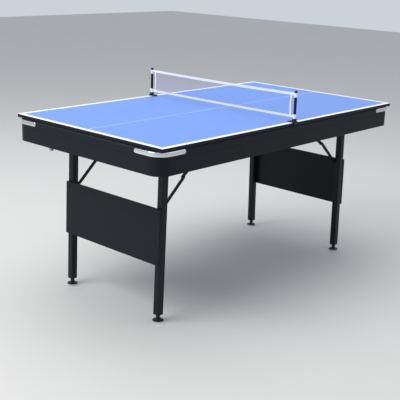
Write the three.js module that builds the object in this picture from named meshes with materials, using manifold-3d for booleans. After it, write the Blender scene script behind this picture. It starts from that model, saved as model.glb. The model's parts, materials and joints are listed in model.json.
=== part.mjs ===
// A ping pong table: a lift-off playing board with a net in two sockets, on a low cabinet with folding legs.
// Millimetres, +Z up. The origin is on the floor under the table's centre, and X runs along its length.
// Left and right are -X and +X, front and rear are -Y and +Y.

import * as THREE from "three";
import { mergeVertices } from "three/addons/utils/BufferGeometryUtils.js";
import Module from "manifold-3d";

const wasm = await Module();
wasm.setup();

// ---------------------------------------------------------------- clearances
const touchGap = 0.3; // between two pieces that bear on each other
const runningGap = 0.6; // between two flat faces that turn or slide past each other
const pinGap = 0.4; // on the radius, between a pin and its hole
const studGap = 0.9; // on the radius, between an upright stud and the hole in the leaning leg
const pinShort = 0.1; // of a link's pin tip behind the link's outer face
const cutMargin = 1; // of a cutting solid past the face it opens
const joinMargin = 1; // of one solid into another that it is joined to

// ------------------------------------------------------------------ fineness
const barSegments = 24; // round a pin, a rod, a post or a socket
const footSegments = 32;
const arcSegments = 12; // along a rounded end or corner
const bedSegments = 8; // along each corner of the bed
const bevelSteps = 4;
const cornerSteps = 12;
const weldDistance = 1e-4; // within which corners of a mesh are one

// ------------------------------------------------------------- playing board
const boardLength = 1675;
const boardWidth = 920;
const boardThickness = 15;
const boardTopZ = 815;
const cleatWidth = 20;
const cleatHeight = 12;
const cleatEndGap = 72; // between each end of a cleat and the corner piece beside it
const cleatSetIn = 2; // from the inner face of the end rail

// ------------------------------------------------------------------- cabinet
const overhangEnd = -10; // of the board past the cabinet: the cabinet's ends stand out past the board
const overhangSide = 4; // and at each side
const cornerRadius = 62;
const apronThickness = 15;
const apronBottomZ = 700;
const railWidth = 60;
const railHeight = 34;
const railBevel = 8;
const blockSetIn = 1; // of a corner's solid block behind the rail's rounded edge
const bedThickness = 15;
const capThickness = 2.5;
const capHeight = 15; // of the flat part, below the bevel
const capArm = 80; // straight arm beyond the corner's curve
const capWrapDeg = 38; // how far the cap follows the rail's bevel

// --------------------------------------------------------------------- legs
const pivotDrop = 38.5; // of the fold pivot below the bed
const legTube = 32;
const legWall = 1.8;
const legBottomZ = 32;
const legBottomX = 673; // of the leg's centre, where it ends above the foot
const legCentreY = 289;
const legSplayDeg = 1.5;
const tubeAbovePivot = 18;
const endPlate = 5;
const panelThickness = 12;
const panelDrop = 205; // of the panel's upper edge below the pivot, along the leg
const panelHeight = 247;
const rodRadius = 6;
const rodEnd = 3; // of the hinge rod past the outer cheek
const bracketPlate = 3;
const bracketLength = 50;
const cheekRadius = 15;

// -------------------------------------------------------------------- braces
const linkWidth = 16;
const linkThickness = 4;
const linkSpacing = 3; // between the lower and the upper link
const linkPinRadius = 4;
const linkAnchorDrop = 234; // of the lower link's pin below the fold pivot, along the leg
const lowerLinkLength = 198;
const lowerLinkDeg = 42.5;
const upperLinkLength = 161.6;
const upperLinkDeg = 35.6;
const earThickness = 4;
const earRadius = 8.5;
const earFlange = 34;
const earLength = 40;

// ----------------------------------------------------------- levelling feet
const discRadius = 25;
const discHeight = 9;
const discTaper = 3;
const neckRadius = 9;
const studRadius = 5;
const studLength = 42;

// ----------------------------------------------------------------------- net
const postRadius = 6.5;
const postTopHeight = 143; // above the board
const postEdge = 1.5; // taper at the post's top
const postSetIn = 3; // of the post's axis from the board's edge
const netBottomHeight = 21; // above the board
const netTopHeight = 131;
const netThickness = 3;
const netEndGap = 25; // from the post's axis to the end of the mesh
const loopWall = 1.4;
const loopHeight = 18;
const netPlateLength = 28;
const netPlateDepth = 33;
const netPlate = 5;
const netLip = 3; // thickness of the lip over the board's edge
const netLipDrop = 13; // of the lip below the plate
const bossRadius = 10.5;
const bossHeight = 11;

// ---------------------------------------------------------------------- hook
const hookY = 222;
const hookWidth = 16;
const hookThickness = 3;
const hookDrop = 13; // below the apron
const hookSetIn = 6; // from the apron's outer face
const hookOverlap = 30; // of the upright behind the apron
const hookTipGap = 3; // between the turned-up tip and the apron

// --------------------------------------------------------- places worked out
const halfLength = boardLength / 2 - overhangEnd; // of the cabinet
const halfWidth = boardWidth / 2 - overhangSide;
const cornerSpan = Math.max(cornerRadius, railWidth); // of a corner piece along each side
const boardBottomZ = boardTopZ - boardThickness;
const railTopZ = boardBottomZ - touchGap;
const railBottomZ = railTopZ - railHeight;
const bedTopZ = railBottomZ - touchGap;
const bedBottomZ = bedTopZ - bedThickness;
const splay = THREE.MathUtils.degToRad(legSplayDeg);
const pivotZ = bedBottomZ - pivotDrop;
const pivotX = legBottomX - (pivotZ - legBottomZ) * Math.tan(splay);
const legLength = (pivotZ - legBottomZ) / Math.cos(splay); // from the pivot to the tube's lower end
const lowerLinkY = legCentreY - legTube / 2 - runningGap - linkThickness / 2;
const upperLinkY = lowerLinkY - linkThickness - linkSpacing;
const earOuterY = upperLinkY - linkThickness / 2 - runningGap;
const postY = boardWidth / 2 - postSetIn;

// ----------------------------------------------------------------- materials
function finish(color, roughness, metalness) {
  return () => new THREE.MeshStandardMaterial({ color, roughness, metalness });
}
const bluePlayingPaint = finish(0x6f9fe0, 0.45, 0);
const blackLaminate = finish(0x23272e, 0.5, 0);
const darkCloth = finish(0x2c4a72, 0.9, 0);
const plainWood = finish(0xa8865c, 0.7, 0);
const chromePlate = finish(0xdfe3e6, 0.12, 1);
const blackSteel = finish(0x1d2026, 0.45, 0.6);
const greySteel = finish(0x8a8f8c, 0.4, 0.8);
const blackPlastic = finish(0x16181b, 0.5, 0);
const whiteTape = finish(0xe8ecf0, 0.8, 0);

// ------------------------------------------------------------------- helpers
function box(xMin, xMax, yMin, yMax, zMin, zMax) {
  const geometry = new THREE.BoxGeometry(xMax - xMin, yMax - yMin, zMax - zMin);
  return geometry.translate((xMin + xMax) / 2, (yMin + yMax) / 2, (zMin + zMax) / 2);
}

// A round bar along Y, through (x, z).
function barAlongY(radius, yMin, yMax, x, z) {
  const geometry = new THREE.CylinderGeometry(radius, radius, yMax - yMin, barSegments);
  return geometry.translate(x, (yMin + yMax) / 2, z);
}

// A turned piece about an upright axis, from its outline of [radius, height] points.
function turned(outline, segments) {
  const points = outline.map(([radius, height]) => new THREE.Vector2(radius, height));
  return new THREE.LatheGeometry(points, segments).rotateX(Math.PI / 2);
}

// A flat outline drawn in X and Z, made solid from yMin to yMax.
function plateAcrossY(shape, yMin, yMax) {
  const geometry = new THREE.ExtrudeGeometry(shape, { depth: yMax - yMin, bevelEnabled: false, curveSegments: arcSegments });
  return geometry.rotateX(Math.PI / 2).translate(0, yMax, 0);
}

function toSolid(geometry) {
  const bare = geometry.clone();
  bare.deleteAttribute("normal");
  bare.deleteAttribute("uv");
  const merged = mergeVertices(bare, weldDistance);
  const vertProperties = new Float32Array(merged.attributes.position.array);
  const triVerts = new Uint32Array(merged.index.array);
  return new wasm.Manifold(new wasm.Mesh({ numProp: 3, vertProperties, triVerts }));
}

function toGeometry(solid) {
  const mesh = solid.getMesh();
  const geometry = new THREE.BufferGeometry();
  geometry.setAttribute("position", new THREE.BufferAttribute(mesh.vertProperties, 3));
  geometry.setIndex(new THREE.BufferAttribute(mesh.triVerts, 1));
  return geometry;
}

function join(first, ...others) {
  return toGeometry(others.reduce((solid, other) => solid.add(toSolid(other)), toSolid(first)));
}

function cut(first, ...tools) {
  return toGeometry(tools.reduce((solid, tool) => solid.subtract(toSolid(tool)), toSolid(first)));
}

// Stations along the cabinet's outline round the corner in one quadrant, with a straight arm at each end.
// At each station a profile's first number runs outward from the corner's centre, its second number up.
function cornerStations(signX, signY, arm) {
  const startAngle = Math.atan2(signY, signX) - Math.PI / 4;
  const centreX = signX * (halfLength - cornerRadius);
  const centreY = signY * (halfWidth - cornerRadius);
  const stations = [];
  for (let step = 0; step <= cornerSteps; step += 1) {
    const angle = startAngle + (step / cornerSteps) * (Math.PI / 2);
    stations.push({ x: centreX, y: centreY, outX: Math.cos(angle), outY: Math.sin(angle) });
  }
  if (arm > 0) {
    const first = stations[0];
    const last = stations[cornerSteps];
    stations.unshift({ ...first, x: first.x + arm * first.outY, y: first.y - arm * first.outX });
    stations.push({ ...last, x: last.x - arm * last.outY, y: last.y + arm * last.outX });
  }
  return stations;
}

// The two stations of a straight run along one side of the cabinet.
function straightStations(outX, outY, span) {
  const x = outX * halfLength;
  const y = outY * halfWidth;
  return [-1, 1].map((end) => ({ x: x - end * span * outY, y: y + end * span * outX, outX, outY }));
}

// A closed solid swept from station to station, with both ends closed.
function sweep(profile, stations) {
  const outline = profile.map(([out, up]) => new THREE.Vector2(out, up));
  const anticlockwise = THREE.ShapeUtils.isClockWise(outline) ? outline.reverse() : outline;
  const count = anticlockwise.length;
  const positions = [];
  for (const station of stations) {
    for (const point of anticlockwise) {
      positions.push(station.x + point.x * station.outX, station.y + point.x * station.outY, point.y);
    }
  }
  const triangles = [];
  for (let ring = 0; ring + 1 < stations.length; ring += 1) {
    for (let side = 0; side < count; side += 1) {
      const a = ring * count + side;
      const b = ring * count + ((side + 1) % count);
      triangles.push(a, a + count, b, b, a + count, b + count);
    }
  }
  const lastRing = (stations.length - 1) * count;
  for (const [a, b, c] of THREE.ShapeUtils.triangulateShape(anticlockwise, [])) {
    triangles.push(a, b, c, lastRing + a, lastRing + c, lastRing + b);
  }
  const geometry = new THREE.BufferGeometry();
  geometry.setAttribute("position", new THREE.Float32BufferAttribute(positions, 3));
  geometry.setIndex(triangles);
  return geometry;
}

const table = new THREE.Group();

function add(parent, name, geometry, material) {
  const mesh = new THREE.Mesh(geometry, material());
  mesh.name = name;
  parent.add(mesh);
  return mesh;
}

const sides = [
  { name: "front", sign: -1 },
  { name: "rear", sign: 1 },
];
const ends = [
  { name: "left", sign: -1 },
  { name: "right", sign: 1 },
];

// ------------------------------------------------------------- playing board
function addBoard() {
  const x = boardLength / 2;
  const y = boardWidth / 2;
  add(table, "tennis_board", box(-x, x, -y, y, boardBottomZ, boardTopZ), bluePlayingPaint);
  const cleatTopZ = boardBottomZ - touchGap;
  const cleatHalf = halfWidth - cornerSpan - cleatEndGap;
  for (const end of ends) {
    const outer = halfLength - railWidth - cleatSetIn;
    const cleat = box(-cleatWidth, 0, -cleatHalf, cleatHalf, cleatTopZ - cleatHeight, cleatTopZ);
    if (end.sign < 0) cleat.translate(cleatWidth, 0, 0);
    add(table, `board_cleat_${end.name}`, cleat.translate(end.sign * outer, 0, 0), plainWood);
  }
}

// ------------------------------------------------------------------- cabinet
// The rail's rounded upper edge, from the outer face up to the top, offset outwards by the given amount.
function bevelPoints(faceRadius, offset, fromDeg, toDeg) {
  const points = [];
  for (let step = 0; step <= bevelSteps; step += 1) {
    const angle = THREE.MathUtils.degToRad(fromDeg + (step / bevelSteps) * (toDeg - fromDeg));
    const out = faceRadius - railBevel + (railBevel + offset) * Math.cos(angle);
    points.push([out, railTopZ - railBevel + (railBevel + offset) * Math.sin(angle)]);
  }
  return points;
}

function addCabinetSides() {
  const railProfile = [[-railWidth, railBottomZ], [0, railBottomZ], ...bevelPoints(0, 0, 0, 90), [-railWidth, railTopZ]];
  const apronProfile = [
    [-apronThickness, apronBottomZ],
    [0, apronBottomZ],
    [0, railBottomZ - touchGap],
    [-apronThickness, railBottomZ - touchGap],
  ];
  const runs = [
    ...sides.map((side) => ({ name: side.name, outX: 0, outY: side.sign, span: halfLength - cornerSpan - touchGap })),
    ...ends.map((end) => ({ name: end.name, outX: end.sign, outY: 0, span: halfWidth - cornerSpan - touchGap })),
  ];
  for (const run of runs) {
    const stations = straightStations(run.outX, run.outY, run.span);
    add(table, `apron_${run.name}`, sweep(apronProfile, stations), blackLaminate);
    add(table, `top_rail_${run.name}`, sweep(railProfile, stations), blackLaminate);
  }
}

// A corner piece: a curved wall as tall as apron and rail together, with a solid block at rail level.
function cornerPiece(signX, signY) {
  const innerRadius = cornerRadius - apronThickness;
  const wallProfile = [
    [innerRadius, apronBottomZ],
    [cornerRadius, apronBottomZ],
    ...bevelPoints(cornerRadius, 0, 0, 90),
    [innerRadius, railTopZ],
  ];
  const arm = cornerSpan - cornerRadius;
  const wall = sweep(wallProfile, cornerStations(signX, signY, arm));
  const reach = cornerRadius - Math.max(apronThickness / 2, railBevel + blockSetIn);
  const plan = new THREE.Shape();
  plan.moveTo(-arm, -arm);
  plan.lineTo(reach, -arm);
  plan.lineTo(reach, 0);
  plan.absarc(0, 0, reach, 0, Math.PI / 2, false);
  plan.lineTo(-arm, reach);
  plan.closePath();
  const block = new THREE.ExtrudeGeometry(plan, { depth: railHeight, bevelEnabled: false, curveSegments: arcSegments });
  block.rotateZ(Math.atan2(signY, signX) - Math.PI / 4);
  block.translate(signX * (halfLength - cornerRadius), signY * (halfWidth - cornerRadius), railBottomZ);
  return join(wall, block);
}

function addCorners() {
  const bevelZ = railTopZ - railBevel;
  const capProfile = [
    [cornerRadius + touchGap, bevelZ - capHeight],
    ...bevelPoints(cornerRadius, touchGap, 0, capWrapDeg),
    ...bevelPoints(cornerRadius, touchGap + capThickness, 0, capWrapDeg).reverse(),
    [cornerRadius + touchGap + capThickness, bevelZ - capHeight],
  ];
  for (const end of ends) {
    for (const side of sides) {
      const place = `${end.name}_${side.name}`;
      const capStations = cornerStations(end.sign, side.sign, capArm);
      add(table, `corner_${place}`, cornerPiece(end.sign, side.sign), blackLaminate);
      add(table, `corner_cap_${place}`, sweep(capProfile, capStations), chromePlate);
    }
  }
}

function addBed() {
  const x = halfLength - apronThickness - touchGap;
  const y = halfWidth - apronThickness - touchGap;
  const radius = cornerRadius - apronThickness - touchGap;
  const plan = new THREE.Shape();
  plan.moveTo(-x + radius, -y);
  plan.absarc(x - radius, -y + radius, radius, -Math.PI / 2, 0, false);
  plan.absarc(x - radius, y - radius, radius, 0, Math.PI / 2, false);
  plan.absarc(-x + radius, y - radius, radius, Math.PI / 2, Math.PI, false);
  plan.absarc(-x + radius, -y + radius, radius, Math.PI, 1.5 * Math.PI, false);
  const bed = new THREE.ExtrudeGeometry(plan, { depth: bedThickness, bevelEnabled: false, curveSegments: bedSegments });
  add(table, "playfield_bed", bed.translate(0, 0, bedBottomZ), darkCloth);
}

// A small flat hook screwed to the inside of the left apron, whose turned-up tip shows below it.
function addHook() {
  const x = -halfLength + apronThickness + touchGap;
  const tipX = -halfLength + hookSetIn;
  const bottomZ = apronBottomZ - hookDrop;
  const y = [hookY - hookWidth / 2, hookY + hookWidth / 2];
  const upright = box(x, x + hookThickness, ...y, bottomZ, apronBottomZ + hookOverlap);
  const foot = box(tipX, x + hookThickness, ...y, bottomZ, bottomZ + hookThickness);
  const tip = box(tipX, tipX + hookThickness, ...y, bottomZ, apronBottomZ - hookTipGap);
  add(table, "accessory_hook", join(upright, foot, tip), greySteel);
}

// ---------------------------------------------------------------------- legs
// A hanging plate in X and Z with a round lower end about the origin, up to the given height.
function hangingPlate(radius, height, holeRadius) {
  const shape = new THREE.Shape();
  shape.moveTo(radius, height);
  shape.lineTo(radius, 0);
  shape.absarc(0, 0, radius, 0, -Math.PI, true);
  shape.lineTo(-radius, height);
  shape.closePath();
  if (holeRadius > 0) {
    const hole = new THREE.Path();
    hole.absarc(0, 0, holeRadius, 0, 2 * Math.PI, false);
    shape.holes.push(hole);
  }
  return shape;
}

function hingeBracket(centreY) {
  const topZ = bedBottomZ - touchGap;
  const inner = legTube / 2 + runningGap;
  const outer = inner + bracketPlate;
  const cheek = hangingPlate(cheekRadius, topZ - pivotZ, rodRadius + pinGap);
  const plate = box(-bracketLength / 2, bracketLength / 2, -outer, outer, topZ - pivotZ - bracketPlate, topZ - pivotZ);
  const cheeks = [-1, 1].map((sign) => {
    const yMin = sign > 0 ? inner : -outer;
    return plateAcrossY(cheek, yMin, yMin + bracketPlate);
  });
  return join(plate, ...cheeks).translate(0, centreY, pivotZ);
}

// The leg's own frame has the fold pivot at its origin and runs down along -Z; inwardY points to the other leg.
function legGeometry(inwardY) {
  const half = legTube / 2;
  const hollow = half - legWall;
  const tube = box(-half, half, -half, half, -legLength, tubeAbovePivot);
  const bore = box(-hollow, hollow, -hollow, hollow, -legLength + endPlate, tubeAbovePivot + cutMargin);
  const rodHole = barAlongY(rodRadius + pinGap, -legTube, legTube, 0, 0);
  const studHole = turned([[0, -legLength - cutMargin], [studRadius + studGap, -legLength - cutMargin],
    [studRadius + studGap, -legLength + endPlate + cutMargin], [0, -legLength + endPlate + cutMargin]], barSegments);
  const pinTip = half + runningGap + linkThickness - pinShort;
  const pinRange = inwardY > 0 ? [hollow, pinTip] : [-pinTip, -hollow];
  const pin = barAlongY(linkPinRadius, ...pinRange, 0, -linkAnchorDrop);
  return join(cut(tube, bore, rodHole, studHole), pin);
}

function addFoot(parent, name, x, y) {
  const neckTopZ = legBottomZ - touchGap - neckRadius * Math.tan(splay);
  const outline = [
    [0, 0], [discRadius, 0], [discRadius, discHeight - discTaper], [discRadius - discTaper, discHeight],
    [neckRadius, discHeight], [neckRadius, neckTopZ], [studRadius, neckTopZ],
    [studRadius, neckTopZ + studLength], [0, neckTopZ + studLength],
  ];
  add(parent, name, turned(outline, footSegments).translate(x, y, 0), blackPlastic);
}

// ------------------------------------------------------------------- braces
// A flat link with round ends and two pin holes, from the origin along +X.
function linkGeometry(length) {
  const radius = linkWidth / 2;
  const shape = new THREE.Shape();
  shape.absarc(0, 0, radius, Math.PI / 2, 1.5 * Math.PI, false);
  shape.absarc(length, 0, radius, -Math.PI / 2, Math.PI / 2, false);
  shape.closePath();
  for (const x of [0, length]) {
    const hole = new THREE.Path();
    hole.absarc(x, 0, linkPinRadius + pinGap, 0, 2 * Math.PI, false);
    shape.holes.push(hole);
  }
  return plateAcrossY(shape, -linkThickness / 2, linkThickness / 2);
}

// The ear that hangs from the bed and holds the upper link's pin; inwardY points to the table's middle.
function braceEar(inwardY) {
  const topZ = bedBottomZ - touchGap;
  const height = topZ - linkBedZ;
  const outerY = -inwardY * earThickness;
  const ear = plateAcrossY(hangingPlate(earRadius, height, 0), Math.min(0, outerY), Math.max(0, outerY));
  const flangeY = [Math.min(outerY, inwardY * earFlange), Math.max(outerY, inwardY * earFlange)];
  const flange = box(-earLength / 2, earLength / 2, ...flangeY, height - earThickness, height);
  const pinTip = earThickness + runningGap + linkThickness - pinShort;
  const pinRange = inwardY > 0 ? [-pinTip, -earThickness / 2] : [earThickness / 2, pinTip];
  return join(ear, flange, barAlongY(linkPinRadius, ...pinRange, 0, 0));
}

// Places of the brace's three pivots, as distances inboard of the fold pivot and heights.
const linkLegIn = -linkAnchorDrop * Math.sin(splay);
const linkLegZ = pivotZ - linkAnchorDrop * Math.cos(splay);
const lowerAngle = THREE.MathUtils.degToRad(lowerLinkDeg);
const upperAngle = THREE.MathUtils.degToRad(upperLinkDeg);
const elbowIn = linkLegIn + lowerLinkLength * Math.cos(lowerAngle);
const elbowZ = linkLegZ + lowerLinkLength * Math.sin(lowerAngle);
const linkBedIn = elbowIn + upperLinkLength * Math.cos(upperAngle);
const linkBedZ = elbowZ + upperLinkLength * Math.sin(upperAngle);

function addLink(name, length, end, inboard, y, z, angle) {
  const mesh = add(table, name, linkGeometry(length), blackSteel);
  mesh.position.set(end.sign * (pivotX - inboard), y, z);
  mesh.rotation.y = end.sign > 0 ? Math.PI + angle : -angle;
}

function addEnd(end) {
  const pair = new THREE.Group();
  pair.position.set(end.sign * pivotX, 0, pivotZ);
  pair.rotation.y = -end.sign * splay;
  table.add(pair);

  const outerY = legCentreY + legTube / 2;
  const panelIn = legTube / 2 + touchGap;
  const panelX = [end.sign * panelIn, end.sign * (panelIn + panelThickness)].sort((a, b) => a - b);
  const panel = box(...panelX, -outerY, outerY, -panelDrop - panelHeight, -panelDrop);
  add(pair, `leg_panel_${end.name}`, panel, blackLaminate);
  const rodHalf = outerY + runningGap + bracketPlate + rodEnd;
  add(pair, `hinge_rod_${end.name}`, barAlongY(rodRadius, -rodHalf, rodHalf, 0, 0), greySteel);

  for (const side of sides) {
    const place = `${end.name}_${side.name}`;
    const leg = add(pair, `leg_${place}`, legGeometry(-side.sign), blackSteel);
    leg.position.y = side.sign * legCentreY;
    const bracket = hingeBracket(side.sign * legCentreY).translate(end.sign * pivotX, 0, 0);
    add(table, `hinge_bracket_${place}`, bracket, blackSteel);
    addFoot(table, `levelling_foot_${place}`, end.sign * legBottomX, side.sign * legCentreY);
    addLink(`brace_lower_${place}`, lowerLinkLength, end, linkLegIn, side.sign * lowerLinkY, linkLegZ, lowerAngle);
    addLink(`brace_upper_${place}`, upperLinkLength, end, elbowIn, side.sign * upperLinkY, elbowZ, upperAngle);
    const ear = braceEar(-side.sign);
    const earY = side.sign * (earOuterY - earThickness);
    ear.translate(end.sign * (pivotX - linkBedIn), earY, linkBedZ);
    add(table, `brace_ear_${place}`, ear, blackSteel);
  }
}

// ----------------------------------------------------------------------- net
// A net bracket's own frame has its origin on the board's edge at its underside, with +Y outwards.
function netBracketGeometry() {
  const half = netPlateLength / 2;
  const plateZ = boardThickness + touchGap;
  const plateTop = plateZ + netPlate;
  const bossTop = plateTop + bossHeight;
  const socketRadius = postRadius + touchGap;
  const plate = box(-half, half, -netPlateDepth, touchGap + netLip, plateZ, plateTop);
  const lip = box(-half, half, touchGap, touchGap + netLip, plateZ - netLipDrop, plateTop);
  const boss = turned([[0, plateZ], [bossRadius, plateZ], [bossRadius, bossTop], [0, bossTop]], barSegments);
  const socket = turned(
    [[0, plateTop], [socketRadius, plateTop], [socketRadius, bossTop + cutMargin], [0, bossTop + cutMargin]],
    barSegments,
  );
  boss.translate(0, -postSetIn, 0);
  socket.translate(0, -postSetIn, 0);
  return cut(join(plate, lip, boss), socket);
}

function ring(innerRadius, outerRadius, zMin, zMax, y) {
  const shape = new THREE.Shape();
  shape.absarc(0, 0, outerRadius, 0, 2 * Math.PI, false);
  const hole = new THREE.Path();
  hole.absarc(0, 0, innerRadius, 0, 2 * Math.PI, false);
  shape.holes.push(hole);
  const geometry = new THREE.ExtrudeGeometry(shape, { depth: zMax - zMin, bevelEnabled: false, curveSegments: arcSegments });
  return geometry.translate(0, y, zMin);
}

// The net with its tapes as one slab, and a loop round each post at the top and at the bottom.
function netGeometry() {
  const bottomZ = boardTopZ + netBottomHeight;
  const topZ = boardTopZ + netTopHeight;
  const half = netThickness / 2;
  const endY = postY - netEndGap;
  const slab = box(-half, half, -endY, endY, bottomZ, topZ);
  const innerRadius = postRadius + touchGap;
  const pieces = [];
  for (const side of sides) {
    for (const zMin of [bottomZ, topZ - loopHeight]) {
      const y = [side.sign * (endY - joinMargin), side.sign * (postY - innerRadius - loopWall / 2)].sort((a, b) => a - b);
      pieces.push(box(-half, half, ...y, zMin, zMin + loopHeight));
      pieces.push(ring(innerRadius, innerRadius + loopWall, zMin, zMin + loopHeight, side.sign * postY));
    }
  }
  return join(slab, ...pieces);
}

function addNet() {
  add(table, "net", netGeometry(), whiteTape);
  const postBottomZ = boardTopZ + touchGap + netPlate + touchGap;
  const postTopZ = boardTopZ + postTopHeight;
  const outline = [
    [0, postBottomZ], [postRadius, postBottomZ], [postRadius, postTopZ - postEdge],
    [postRadius - postEdge, postTopZ], [0, postTopZ],
  ];
  for (const side of sides) {
    add(table, `net_post_${side.name}`, turned(outline, barSegments).translate(0, side.sign * postY, 0), blackPlastic);
    const bracket = add(table, `net_bracket_${side.name}`, netBracketGeometry(), blackPlastic);
    bracket.position.set(0, (side.sign * boardWidth) / 2, boardBottomZ);
    bracket.rotation.z = side.sign > 0 ? 0 : Math.PI;
  }
}

addBoard();
addCabinetSides();
addCorners();
addBed();
addHook();
for (const end of ends) addEnd(end);
addNet();

export default table;
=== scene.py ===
"""A ping pong table: a blue lift-off board with a socketed net, on a black cabinet with folding legs."""

import json
import math

import bmesh
import bpy
from bpy.props import FloatProperty, FloatVectorProperty, PointerProperty
from mathutils import Matrix, Vector


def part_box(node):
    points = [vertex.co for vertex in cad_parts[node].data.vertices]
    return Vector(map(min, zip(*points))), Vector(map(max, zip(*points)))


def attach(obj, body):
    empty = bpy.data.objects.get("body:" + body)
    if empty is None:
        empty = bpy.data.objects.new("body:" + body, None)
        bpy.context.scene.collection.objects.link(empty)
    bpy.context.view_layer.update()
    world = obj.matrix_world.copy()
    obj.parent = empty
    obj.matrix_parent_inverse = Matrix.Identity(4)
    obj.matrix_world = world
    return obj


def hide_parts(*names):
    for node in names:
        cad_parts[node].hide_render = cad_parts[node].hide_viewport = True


bl_info = {
    "name": "Ping Pong Table",
    "version": (1, 0, 0),
    "blender": (4, 5, 0),
    "location": "3D View > Sidebar > Ping Pong",
    "description": "Builds the pieces and finishes of a ping pong table around its frame",
    "category": "Object",
}

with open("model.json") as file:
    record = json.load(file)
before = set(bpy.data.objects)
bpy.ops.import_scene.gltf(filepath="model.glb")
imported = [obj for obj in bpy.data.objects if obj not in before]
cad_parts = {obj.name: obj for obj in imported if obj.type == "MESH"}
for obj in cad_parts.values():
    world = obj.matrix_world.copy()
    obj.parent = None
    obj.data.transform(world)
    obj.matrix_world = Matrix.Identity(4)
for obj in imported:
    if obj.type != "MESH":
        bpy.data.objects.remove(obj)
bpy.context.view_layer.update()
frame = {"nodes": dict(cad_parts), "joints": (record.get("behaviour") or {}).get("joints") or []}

MM = 0.001
SIDES = {"front": -1, "rear": 1}
ENDS = {"left": -1, "right": 1}
PLACES = [(f"{end}_{side}", ENDS[end], SIDES[side], end) for end in ENDS for side in SIDES]
JOINTS = {joint["name"]: joint for joint in frame["joints"]}

BOARD_LOW, BOARD_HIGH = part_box("tennis_board")
APRON_LOW, APRON_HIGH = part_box("apron_front")
RAIL_LOW, RAIL_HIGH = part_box("top_rail_front")
BOARD_TOP = BOARD_HIGH.z
HALF_WIDTH = -APRON_LOW.y
HALF_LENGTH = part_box("apron_right")[1].x
CORNER_RADIUS = 62 * MM
APRON_THICKNESS = 15 * MM
RAIL_WIDTH = 60 * MM
RAIL_ROUNDING = 8 * MM
CAP_ARM = 80 * MM
CAP_FLAT = 15 * MM
CAP_WRAP = math.radians(38)
CAP_THICKNESS = 2.5 * MM
TOUCH_GAP = 0.3 * MM
SPLAY = math.radians(1.5)
TUBE = 32 * MM
TUBE_WALL = 1.8 * MM
TUBE_ABOVE_PIVOT = 18 * MM
TUBE_END_PLATE = 5 * MM
LEG_Y = 289 * MM
POST_RADIUS = 6.5 * MM
POST_Y = 457 * MM
NET_END_Y = 432 * MM
LINK_WIDTH = 16 * MM
LINK_THICKNESS = 4 * MM
LINK_EDGE = 0.6 * MM
BOARD_CORNER = 3 * MM
TUBE_END_Z = 32 * MM
PANEL_THICKNESS = 12 * MM
PANEL_HEIGHT = 247 * MM
PANEL_DROP = 205 * MM
PANEL_CORNER = 2 * MM
PANEL_SCREW_INSET = 22 * MM
STUD_HOLE_RADIUS = 5.9 * MM
STUD_RADIUS = 5 * MM
STUD_TURNS = 50
THREAD_STEP = 0.8 * MM
THREAD_DEPTH = 0.35 * MM
FOOT_NECK_TOP = 31.4 * MM
HOOK_THICKNESS = 3 * MM
HOOK_TIP_GAP = 3 * MM
HOOK_SCREW_LIFTS = (8 * MM, 22 * MM)
BRACKET_PLATE = 5 * MM
BRACKET_LIP = 3 * MM
BRACKET_CORNER = 5 * MM
BRACKET_SCREW_X = 8.5 * MM
BRACKET_SCREW_INSET = 7.5 * MM
LOOP_HEIGHT = 20 * MM
LOOP_WALL = 0.6 * MM
LOOP_LIFTS = (("top", 113 * MM), ("bottom", 17 * MM))
TAPE_REACH = 449 * MM
END_TAPE_WIDTH = 8 * MM
RIVET_DOME = 2.2 * MM
RIVET_FLUSH = 0.35 * MM  # on the side that folds past the leg tube
LOWER_LINK_Y = 270.4 * MM
UPPER_LINK_Y = 263.4 * MM


# ---------- settings
class PingPongSizes(bpy.types.PropertyGroup):
    border: FloatProperty(
        name="Border line", description="Width of the white line along the board's edges",
        default=0.021, min=0.0, max=0.06, subtype="DISTANCE", unit="LENGTH")
    centre_line: FloatProperty(
        name="Centre line", description="Width of the line along the board's middle",
        default=0.0035, min=0.0, max=0.02, subtype="DISTANCE", unit="LENGTH")
    soft_edge: FloatProperty(
        name="Softened edge", description="Radius along the edges of boards and panels",
        default=0.0012, min=0.0002, max=0.004, subtype="DISTANCE", unit="LENGTH")
    tube_rounding: FloatProperty(
        name="Tube rounding", description="Radius at the corners of a leg tube",
        default=0.0035, min=0.0005, max=0.01, subtype="DISTANCE", unit="LENGTH")
    mesh_pitch: FloatProperty(
        name="Net mesh", description="Distance from one thread of the net to the next",
        default=0.008, min=0.004, max=0.03, subtype="DISTANCE", unit="LENGTH")
    thread: FloatProperty(
        name="Net thread", description="Diameter of the net's thread",
        default=0.0006, min=0.0003, max=0.002, subtype="DISTANCE", unit="LENGTH")
    tape_sag: FloatProperty(
        name="Tape sag", description="How far the top tape sags in the middle",
        default=0.003, min=0.0, max=0.015, subtype="DISTANCE", unit="LENGTH")


def colour_property(name, description, default):
    return FloatVectorProperty(
        name=name, description=description, default=default, min=0.0, max=1.0, size=3, subtype="COLOR")


class PingPongColours(bpy.types.PropertyGroup):
    board: colour_property("Board", "Blue of the playing surface", (0.118, 0.250, 0.665))
    line: colour_property("Lines", "White of the board's lines", (0.80, 0.84, 0.86))
    laminate: colour_property(
        "Laminate", "Black of the cabinet and the leg panels", (0.0065, 0.0085, 0.0125))
    steel: colour_property("Legs", "Black of the powder coat", (0.0060, 0.0072, 0.0095))
    plastic: colour_property(
        "Plastic", "Black of the net brackets, posts and feet", (0.0060, 0.0068, 0.0085))
    chrome: colour_property("Chrome", "Tint of the corner caps", (0.78, 0.80, 0.83))
    cloth: colour_property("Cloth", "Blue of the cloth on the bed", (0.03, 0.09, 0.22))
    thread: colour_property("Thread", "Blue of the net", (0.22, 0.30, 0.72))
    tape: colour_property("Tape", "White of the net's tapes", (0.78, 0.80, 0.83))
    floor: colour_property("Floor", "Pale floor", (0.60, 0.59, 0.57))


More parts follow.
